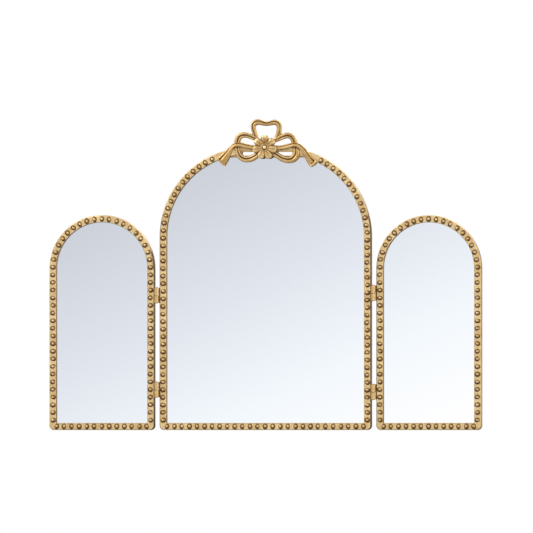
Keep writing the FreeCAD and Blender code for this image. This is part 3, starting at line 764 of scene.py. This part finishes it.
class MIRROR_OT_backs(bpy.types.Operator):
    """Finishes the back boards, their clips and the back screws."""

    bl_idname = "mirror.backs"
    bl_label = "Backs and clips"

    def execute(self, context):
        dress(nodes_ending("back_board"), fibreboard("bare fibreboard"))
        dress(
            nodes_ending("board_clips", "clip_screws", "crest_screws"),
            zinc_plate("zinc-plated steel"),
        )
        return {"FINISHED"}


class MIRROR_OT_hinges(bpy.types.Operator):
    """Finishes the hinge leaves, their pins and screws."""

    bl_idname = "mirror.hinges"
    bl_label = "Hinges"

    def execute(self, context):
        material = hinge_brass("satin brass")
        leaves = nodes_ending("_frame_leaf", "_wing_leaf")
        dress([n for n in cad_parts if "_hinge_" in n and n not in leaves], material)
        for node_name in leaves:
            piece = add_object("brass_" + node_name, eased_leaf(node_name))
            piece.data.materials.append(material)
            owner = node_name.split("_")[0] + "_wing"
            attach(piece, owner if node_name.endswith("_wing_leaf") else "centre_panel")
            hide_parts(node_name)
        return {"FINISHED"}


def eased_leaf(node_name):
    """A copy of a hinge leaf whose knuckle ends are eased, with painted shade in the seam and on the
    leaf plate.
    """
    pin = sum(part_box(node_name.rsplit("_", 2)[0] + "_pin"), Vector()) / 2
    bm = bmesh.new()
    bm.from_mesh(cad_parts[node_name].data)
    bmesh.ops.remove_doubles(bm, verts=bm.verts, dist=2e-6)
    bmesh.ops.recalc_face_normals(bm, faces=bm.faces)
    bm.normal_update()

    def on_rim(edge):
        radii = [math.hypot(v.co.x - pin.x, v.co.y - pin.y) for v in edge.verts]
        return (
            len(edge.link_faces) == 2 and edge.calc_face_angle(0) > 1.2
            and 3.4 * MM < min(radii) and max(radii) < 3.8 * MM
        )

    rims = [e for e in bm.edges if on_rim(e)]
    made = bmesh.ops.bevel(
        bm, geom=rims, offset=0.5 * MM, segments=1, affect="EDGES", clamp_overlap=True,
    )
    bevelled = set(made["faces"])
    bmesh.ops.triangulate(bm, faces=[f for f in bm.faces if len(f.verts) > 4])
    # Painted shade: the eased seam faces are fully dark as the shade in the seam. The leaf plate is
    # half dark as the shade in the gap between panels.
    patina_and_shade = [1.0 if f in bevelled else 0.0 for f in bm.faces]
    for face in bm.faces:
        if math.hypot(*(face.calc_center_median() - pin).xy) > 3.8 * MM:
            patina_and_shade[face.index] = 0.5
    sharpen(bm, math.radians(35))
    mesh = bpy.data.meshes.new(node_name)
    bm.to_mesh(mesh)
    bm.free()
    store(mesh, "patina_and_shade", patina_and_shade, "FACE")
    return mesh


# The bow


def along(points, steps):
    """A smooth run through the points, with their other columns carried along."""
    p = np.array(points, float)
    ends = np.vstack([2 * p[0] - p[1], p, 2 * p[-1] - p[-2]])
    run = []
    for a, b, c, d in zip(ends, ends[1:], ends[2:], ends[3:]):
        for t in np.arange(steps) / steps:
            run.append(0.5 * (
                2 * b + (c - a) * t + (2 * a - 5 * b + 4 * c - d) * t**2
                + (3 * b - a - 3 * c + d) * t**3
            ))
    run.append(p[-1])
    return np.array(run)


def ribbon(bm, points, grooves, lean=0.0):
    """Adds one length of ribbon: soft edges, grooves along it at the stated places across, and a
    lean that lifts one edge over the other."""
    depth = settings().sizes.groove_depth / MM
    run = along(points, 9)
    step = np.gradient(run[:, :2], axis=0)
    step /= np.linalg.norm(step, axis=1)[:, None]
    side = np.stack([-step[:, 1], step[:, 0]], axis=1)
    across = np.linspace(-1, 1, 17)
    edge = np.sqrt(np.clip(1 - np.abs(across) ** 3.2, 0, 1))
    cut = sum(np.exp(-(((across - g) / 0.2) ** 2)) for g in grooves)
    rings = []
    for (u, v, width, rise), (sx, sz) in zip(run, side):
        top = (rise * (1 + lean * across) - depth * cut) * (0.35 + 0.65 * edge)
        ring = [
            (u + sx * width / 2 * a, v + sz * width / 2 * a, h) for a, h in zip(across, top)
        ]
        ring += [(u + sx * width / 2 * a, v + sz * width / 2 * a, 0.0) for a in (1, 0, -1)]
        rings.append([bm.verts.new(placed_on_crest(*c)) for c in ring])
    count = len(rings[0])
    for a, b in zip(rings, rings[1:]):
        for i in range(count):
            j = (i + 1) % count
            bm.faces.new((a[i], a[j], b[j], b[i]))
    bm.faces.new(rings[0])
    bm.faces.new(rings[-1])


def placed_on_crest(u, v, h):
    """A point of the crest: across, up and out of the frame's face, in millimetres."""
    return CREST[0] + u * MM, CREST[1] - h * MM, CREST[2] + v * MM


def knot(bm):
    """The round knot beneath the flower."""
    rings = []
    for r, h in ((13, 0), (13, 3.6), (12, 5), (9, 5.7), (5, 5.9)):
        turns = [math.tau * i / 32 for i in range(32)]
        rings.append([
            bm.verts.new(placed_on_crest(r * math.cos(a), r * math.sin(a), h)) for a in turns
        ])
    for a, b in zip(rings, rings[1:]):
        for i in range(32):
            j = (i + 1) % 32
            bm.faces.new((a[i], a[j], b[j], b[i]))
    bm.faces.new(rings[0])
    bm.faces.new(rings[-1])


def weather(mesh, reach, dark, light):
    """Marks hollows and ridges: where a much smoothed copy of the surface lies outside it, the
    surface dips and takes patina, and where it lies inside, there is a ridge."""
    count = len(mesh.vertices)
    place = np.empty(count * 3)
    mesh.vertices.foreach_get("co", place)
    place = place.reshape(-1, 3)
    normal = np.empty(count * 3)
    mesh.vertices.foreach_get("normal", normal)
    normal = normal.reshape(-1, 3)
    pairs = np.empty(len(mesh.edges) * 2, np.int64)
    mesh.edges.foreach_get("vertices", pairs)
    a, b = pairs.reshape(-1, 2).T
    links = np.bincount(a, minlength=count) + np.bincount(b, minlength=count)
    links = np.maximum(links, 1)[:, None]

    def averaged(values):
        total = np.stack([
            np.bincount(a, values[b, k], count) + np.bincount(b, values[a, k], count)
            for k in range(values.shape[1])
        ], axis=1)
        return 0.5 * values + 0.5 * total / links

    smooth = place
    for _ in range(reach):
        smooth = averaged(smooth)
    depth = ((smooth - place) * normal).sum(1)[:, None]
    depth = averaged(averaged(depth))[:, 0] / MM
    store(mesh, "patina_and_shade", np.clip(depth / dark, 0, 1))
    store(mesh, "ridge", np.clip(-depth / light, 0, 1))


class MIRROR_OT_bow(bpy.types.Operator):
    """Models the ribbon bow as one casting."""

    bl_idname = "mirror.bow"
    bl_label = "Ribbon bow"

    def execute(self, context):
        bm = bmesh.new()
        ribbon(bm, HEART_LOOP, [0.3], lean=0.12)
        ribbon(bm, LEFT_LOOPS, [0.12], lean=-0.1)
        ribbon(bm, RIGHT_LOOPS, [-0.12], lean=0.1)
        ribbon(bm, LEFT_TAIL, [-0.5], lean=0.12)
        ribbon(bm, RIGHT_TAIL, [0.5], lean=-0.12)
        ribbon(bm, RIGHT_ROLL, [])
        ribbon(bm, LEFT_HEM, [])
        knot(bm)
        bmesh.ops.recalc_face_normals(bm, faces=bm.faces)
        mesh = bpy.data.meshes.new("ribbon_bow")
        bm.to_mesh(mesh)
        bm.free()
        piece = add_object("ribbon_bow", mesh)
        remesh = piece.modifiers.new("One casting", "REMESH")
        remesh.mode = "VOXEL"
        remesh.voxel_size = settings().sizes.bow_grain
        remesh.use_smooth_shade = True
        soften = piece.modifiers.new("Soft edges", "SMOOTH")
        soften.factor = 0.5
        soften.iterations = 3
        made_plain(piece)
        if not piece.data.vertices:
            raise RuntimeError("the bow came out empty")
        weather(piece.data, 26, 0.18, 0.6)
        piece.data.materials.clear()
        piece.data.materials.append(gilding("gold leaf on the bow", 0.6))
        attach(piece, "centre_panel")
        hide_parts("crest_bow")
        return {"FINISHED"}


def petal_mesh():
    """One cupped petal that points up from the flower's middle, with a crease down it."""
    reach = settings().sizes.petal_reach / MM
    outline = along([
        (3, 1.3), (8, 4.2), (12, 6), (15.3, 6.8), (18.2, 6.4), (20.4, 4.8), (21.6, 2.1),
    ], 3)
    outline[:, 0] *= reach / 21.6
    across = np.linspace(-1, 1, 11)
    bm = bmesh.new()
    rows = []
    patina_and_shade = []
    ridge = []
    for r, half in outline:
        share = (r - 3) / (reach - 3)
        row = []
        for a in across:
            fall = math.sqrt(max(0.0, 1 - abs(a) ** 3))
            crown = 1.2 + 2.4 * math.sin(math.pi * min(1.0, share * 1.15) * 0.62)
            crown -= 1.3 * max(0.0, share - 0.82) / 0.18
            crease = 0.75 * math.exp(-((a / 0.2) ** 2)) * (1 - 0.7 * share)
            cup = 0.5 * abs(a) * share
            height = (crown - crease + cup) * (0.3 + 0.7 * fall)
            row.append(bm.verts.new((half * a * MM, -height * MM, r * MM)))
            edge_glaze = max(0.0, abs(a) - 0.72) * 3
            patina_and_shade.append(min(1.0, 0.25 * (1 - share) ** 2 + crease * 0.6 + 0.5 * edge_glaze))
            ridge.append(max(0.0, share - 0.35) * fall * 1.1 - crease * 0.5)
        rows.append(row)
    under = [bm.verts.new((v.co.x, 0.4 * MM, v.co.z)) for row in rows for v in (row[0], row[-1])]
    patina_and_shade += [1.0] * len(under)
    ridge += [0.0] * len(under)
    for low, high in zip(rows, rows[1:]):
        for i in range(len(across) - 1):
            bm.faces.new((low[i], low[i + 1], high[i + 1], high[i]))
    for k in range(len(rows) - 1):
        left, right = under[2 * k], under[2 * k + 1]
        next_left, next_right = under[2 * k + 2], under[2 * k + 3]
        bm.faces.new((rows[k][0], rows[k + 1][0], next_left, left))
        bm.faces.new((rows[k + 1][-1], rows[k][-1], right, next_right))
        bm.faces.new((left, next_left, next_right, right))
    bm.faces.new([*rows[0], under[1], under[0]])
    bm.faces.new([*rows[-1], under[-1], under[-2]])
    bmesh.ops.recalc_face_normals(bm, faces=bm.faces)
    for face in bm.faces:
        face.smooth = True
    mesh = bpy.data.meshes.new("petal")
    bm.to_mesh(mesh)
    bm.free()
    store(mesh, "patina_and_shade", np.clip(patina_and_shade, 0, 1))
    store(mesh, "ridge", np.clip(ridge, 0, 1))
    return mesh


class MIRROR_OT_flower(bpy.types.Operator):
    """Models the flower: its petals and its round middle."""

    bl_idname = "mirror.flower"
    bl_label = "Flower"

    def execute(self, context):
        material = gilding("gold leaf on the flower")
        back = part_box("crest_rosette")[1].y
        middle = Vector((CREST[0], back, CREST[2]))
        petal = add_object("petal", petal_mesh())
        disc = lathe_mesh("disc", [
            (0, 2.3 * MM, 0.4, 0), (9 * MM, 2.3 * MM, 0.4, 0), (12 * MM, 2 * MM, 0.6, 0),
            (13.8 * MM, 1 * MM, 1, 0), (13.4 * MM, -0.4 * MM, 1, 0),
        ], 40)
        disc.transform(Matrix.Translation(middle))
        piece = add_object("flower_petals", disc)
        run_tree(piece, petal_tree(), {
            "Petal": petal, "Count": settings().sizes.petals, "Material": material,
            "Middle": middle,
        })
        drop_object(petal)
        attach(piece, "centre_panel")
        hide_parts("crest_rosette")
        button = lathe_mesh("flower_middle", [
            (0, 5.2 * MM, 0, 0.8), (1.6 * MM, 5.05 * MM, 0, 0.7), (2.8 * MM, 4.5 * MM, 0, 0.4),
            (3.6 * MM, 3.5 * MM, 0.3, 0), (4.0 * MM, 2.6 * MM, 1, 0),
            (4.7 * MM, 2.4 * MM, 1, 0), (5.1 * MM, 2.9 * MM, 0.4, 0.3),
            (5.6 * MM, 3.1 * MM, 0, 0.6), (6.1 * MM, 2.8 * MM, 0.1, 0.3),
            (6.4 * MM, 1.8 * MM, 0.4, 0), (6.4 * MM, 0.2 * MM, 1, 0),
        ], 32)
        button.transform(Matrix.Translation(middle))
        button.materials.append(material)
        button = add_object("flower_middle", button)
        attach(button, "centre_panel")
        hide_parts("crest_rosette_pin")
        return {"FINISHED"}


# The stage


def stage_plane(name, corners, material):
    """A flat sheet that belongs to the stage."""
    mesh = bpy.data.meshes.new(name)
    mesh.from_pydata(corners, [], [(0, 1, 2, 3)])
    mesh.materials.append(material)
    made = add_object(name, mesh)
    return made


def floor_paper():
    """Matt white studio paper with a faint tooth."""
    material, tree = new_material("white studio paper")
    tooth = noise(tree, 2 * MM, detail=2)
    colour = blend(tree, tooth, linear("#F1F1F0"), linear("#F6F6F5"))
    finish(tree, node(tree, "ShaderNodeBsdfPrincipled", inputs={
        "Base Color": colour, "Roughness": 0.9,
    }).outputs[0])
    return material


def pale_card(distance, azimuth):
    """A lit card that the mirrors show: cool grey at the upper left, white at the lower right."""
    material, tree = new_material("pale graded card")
    place = node(tree, "ShaderNodeTexCoord").outputs["Object"]
    parts = node(tree, "ShaderNodeSeparateXYZ", inputs={0: place})
    # A sight line that meets the glass x metres right of the middle meets the card at
    # x - distance * tan(azimuth), at the same height.
    sideways = node(tree, "ShaderNodeMath", {"operation": "MULTIPLY_ADD"}, {
        0: parts.outputs["X"], 1: 0.56, 2: 0.845 + 0.56 * distance * math.tan(azimuth),
    })
    fade = node(tree, "ShaderNodeMath", {"operation": "MULTIPLY_ADD"}, {
        0: parts.outputs["Z"], 1: -1.2, 2: sideways.outputs[0],
    })
    ramp = node(tree, "ShaderNodeValToRGB", inputs={"Fac": fade.outputs[0]})
    stops = [(0, "#BEC3CD"), (0.273, "#CFD4DD"), (0.545, "#E2E7EF"), (0.79, "#F4F9FE"), (1, "#FFFFFF")]
    elements = ramp.color_ramp.elements
    while len(elements) < len(stops):
        elements.new(0.5)
    for element, (at, code) in zip(elements, stops):
        element.position = at
        element.color = linear(code)
    finish(tree, node(tree, "ShaderNodeEmission", inputs={
        "Color": ramp.outputs["Color"], "Strength": 1.04,
    }).outputs[0])
    return material


def lamp(name, place, aim, size, power):
    """A large soft lamp at a place, turned to an aim."""
    light = bpy.data.lights.new(name, "AREA")
    light.shape = "RECTANGLE"
    light.size, light.size_y = size
    light.energy = power
    made = bpy.data.objects.new(name, light)
    made.location = place
    made.rotation_euler = (Vector(aim) - Vector(place)).to_track_quat("-Z", "Y").to_euler()
    bpy.context.scene.collection.objects.link(made)


def white_room(ambient):
    """A world that the camera and polished surfaces see as white, and that lights softly."""
    world = bpy.data.worlds.new("white room")
    bpy.context.scene.world = world
    world.use_nodes = True
    tree = world.node_tree
    tree.nodes.clear()
    path = node(tree, "ShaderNodeLightPath").outputs
    seen = combine(tree, "ADD", path["Is Camera Ray"], path["Is Glossy Ray"])
    seen = combine(tree, "ADD", seen, path["Is Transmission Ray"])
    soft = node(tree, "ShaderNodeBackground", inputs={"Color": linear("#FFFFFF"), "Strength": ambient})
    white = node(tree, "ShaderNodeBackground", inputs={"Color": linear("#FFFFFF"), "Strength": 1.0})
    both = node(tree, "ShaderNodeMixShader", inputs={0: seen, 1: soft.outputs[0], 2: white.outputs[0]})
    node(tree, "ShaderNodeOutputWorld", inputs={"Surface": both.outputs[0]})


class MIRROR_OT_stage(bpy.types.Operator):
    """Sets the floor, the card, the lamps and the camera."""

    bl_idname = "mirror.stage"
    bl_label = "Stage"

    def execute(self, context):
        stage = settings().stage
        floor = cad_box[0][2] - 0.2 * MM
        stage_plane("floor", [(-8, -8, floor), (8, -8, floor), (8, 8, floor), (-8, 8, floor)],
                    floor_paper())
        y = -stage.card_distance
        card = stage_plane("card", [(-3, y, floor), (-3, y, 2.2), (3, y, 2.2), (3, y, floor)],
                           pale_card(stage.card_distance, stage.azimuth))
        card.visible_camera = False
        lamp("key lamp", (-1.5, -1.7, 1.7), (0, 0, 0.25), (1.3, 1.0), stage.key_power)
        lamp("fill lamp", (1.9, -1.3, 0.9), (0, 0, 0.25), (1.2, 1.2), stage.fill_power)
        lamp("back lamp", (0.6, 1.9, 1.5), (0, 0, 0.25), (1.4, 1.0), stage.back_power)
        white_room(stage.ambient)
        camera = bpy.data.cameras.new("camera")
        camera.type = "ORTHO"
        camera.ortho_scale = stage.view_width
        camera.clip_end = 50
        made = bpy.data.objects.new("camera", camera)
        right = Vector((math.cos(stage.azimuth), math.sin(stage.azimuth), 0))
        back = Vector((math.sin(stage.azimuth), -math.cos(stage.azimuth), 0))
        made.location = right * stage.aim_side + back * 2.5 + Vector((0, 0, stage.aim_height))
        made.rotation_euler = (math.radians(90), 0, stage.azimuth)
        context.scene.collection.objects.link(made)
        context.scene.camera = made
        context.scene.view_settings.view_transform = "Standard"
        return {"FINISHED"}


class MIRROR_PT_build(bpy.types.Panel):
    """Lists the mirror's pieces and settings."""

    bl_label = "Folding Triple Mirror"
    bl_idname = "MIRROR_PT_build"
    bl_space_type = "VIEW_3D"
    bl_region_type = "UI"
    bl_category = "Mirror"

    def draw(self, context):
        for operator in OPERATORS:
            self.layout.operator(operator.bl_idname)
        for group in (settings().sizes, settings().colours, settings().stage):
            box = self.layout.box()
            for name in group.__annotations__:
                box.prop(group, name)


OPERATORS = (
    MIRROR_OT_frames, MIRROR_OT_glass, MIRROR_OT_backs, MIRROR_OT_hinges, MIRROR_OT_bow,
    MIRROR_OT_flower, MIRROR_OT_stage,
)
GROUPS = (MirrorSizes, MirrorColours, MirrorStage, MirrorSettings)
CLASSES = (*GROUPS, *OPERATORS, MIRROR_PT_build)


def register():
    """Registers the classes and the scene's settings."""
    for item in CLASSES:
        bpy.utils.register_class(item)
    bpy.types.Scene.folding_mirror = bpy.props.PointerProperty(type=MirrorSettings)


def unregister():
    """Takes the settings and the classes away again."""
    del bpy.types.Scene.folding_mirror
    for item in reversed(CLASSES):
        bpy.utils.unregister_class(item)


def main():
    """Builds the mirror and its stage."""
    register()
    bpy.ops.mirror.frames()
    bpy.ops.mirror.glass()
    bpy.ops.mirror.backs()
    bpy.ops.mirror.hinges()
    bpy.ops.mirror.bow()
    bpy.ops.mirror.flower()
    bpy.ops.mirror.stage()


if __name__ == "__main__":
    main()
